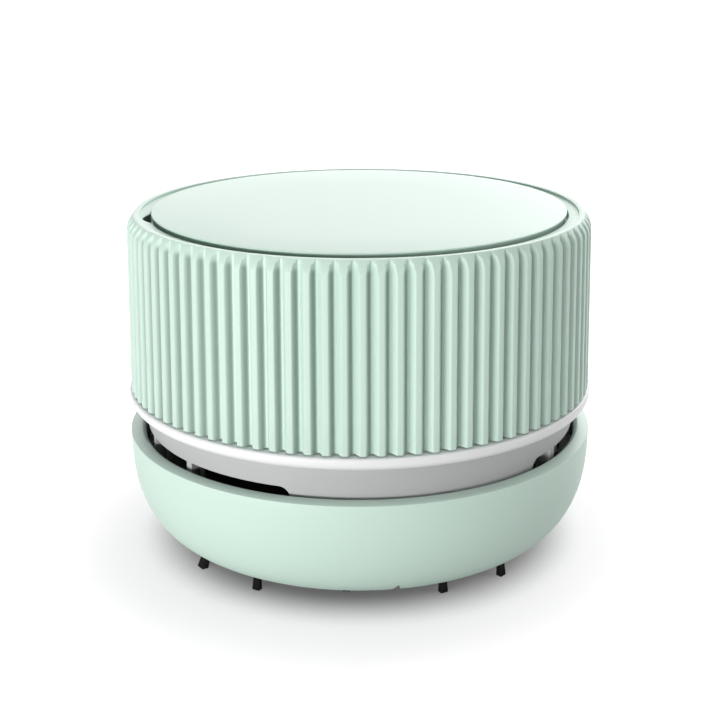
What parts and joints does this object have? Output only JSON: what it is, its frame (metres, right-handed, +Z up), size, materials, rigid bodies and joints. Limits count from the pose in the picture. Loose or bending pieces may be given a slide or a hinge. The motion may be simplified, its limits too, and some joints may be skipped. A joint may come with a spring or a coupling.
{
  "type": "desktop mini vacuum cleaner",
  "caption": "Small round desk vacuum cleaner with a ribbed turning dial over a vented body, a pull-off dust bowl and brush tufts round its inlet.",
  "frame": {"origin": "on the table under the middle of the bowl, at the height of the bristle tips", "axes": "+Z up along the axis of the drum and fan, -Y towards the viewer of the picture, +X to the right"},
  "size_m": [0.0848, 0.0848, 0.0618],
  "materials": {
    "mint_plastic": "satin pale mint",
    "white_plastic": "satin white",
    "black_plastic": "satin black",
    "bristle_black": "black nylon",
    "seal_rubber": "matt dark grey",
    "filter_cloth": "white felt",
    "foam": "dark grey foam",
    "plated_steel": "plated",
    "screw_steel": "zinc plated",
    "bronze": "sintered",
    "brass": "plain",
    "board_green": "lacquered",
    "cell_wrap": "plain wrap",
    "lead_red": "insulation",
    "lead_white": "insulation",
    "lead_black": "insulation"
  },
  "bodies": {
    "bowl": {"dust_bowl": "mint_plastic", "suction_plate": "white_plastic", "brush_strip_front": "bristle_black", "brush_strip_right": "bristle_black", "brush_strip_back": "bristle_black", "brush_strip_left": "bristle_black", "plate_screw_1": "screw_steel", "plate_screw_2": "screw_steel", "plate_screw_3": "screw_steel"},
    "drum": {"ribbed_drum": "mint_plastic", "switch_wiper": "brass"},
    "cover": {"top_cover": "mint_plastic"},
    "rotor": {"motor_shaft": "plated_steel", "impeller": "white_plastic"},
    "filter": {"filter_frame": "black_plastic", "filter_cloth": "filter_cloth"},
    "power_unit": {"body_shell": "white_plastic", "vent_ring": "white_plastic", "intake_plate": "white_plastic", "battery_tray": "white_plastic", "motor_strap": "white_plastic", "motor_end_cap": "white_plastic", "seal_ring": "seal_rubber", "motor_pad": "foam", "motor_can": "plated_steel", "positive_tab": "plated_steel", "negative_tab": "plated_steel", "link_strip": "plated_steel", "negative_spring": "plated_steel", "link_spring": "plated_steel", "motor_bush": "bronze", "motor_terminal_left": "brass", "motor_terminal_right": "brass", "switch_board": "board_green", "battery_left": "cell_wrap", "battery_right": "cell_wrap", "lead_red": "lead_red", "lead_white": "lead_white", "lead_black": "lead_black", "intake_screw_1": "screw_steel", "intake_screw_2": "screw_steel", "intake_screw_3": "screw_steel", "tray_screw_1": "screw_steel", "tray_screw_2": "screw_steel", "tray_screw_3": "screw_steel", "strap_screw_1": "screw_steel", "strap_screw_2": "screw_steel"}
  },
  "joints": [
    {"name": "body_lift", "type": "slide", "parent": "bowl", "child": "power_unit", "axis": [0, 0, 1], "range_m": [0, 0.03]},
    {"name": "dial_turn", "type": "hinge", "parent": "power_unit", "child": "drum", "pos_m": [0, 0, 0.035], "axis": [0, 0, 1], "range_deg": [0, 30]},
    {"name": "cover_lift", "type": "slide", "parent": "drum", "child": "cover", "axis": [0, 0, 1], "range_m": [0, 0.012]},
    {"name": "fan_spin", "type": "hinge", "parent": "power_unit", "child": "rotor", "pos_m": [0, 0, 0.025], "axis": [0, 0, 1], "continuous": true},
    {"name": "filter_pull", "type": "slide", "parent": "power_unit", "child": "filter", "axis": [0, 0, -1], "range_m": [0, 0.0032]}
  ]
}
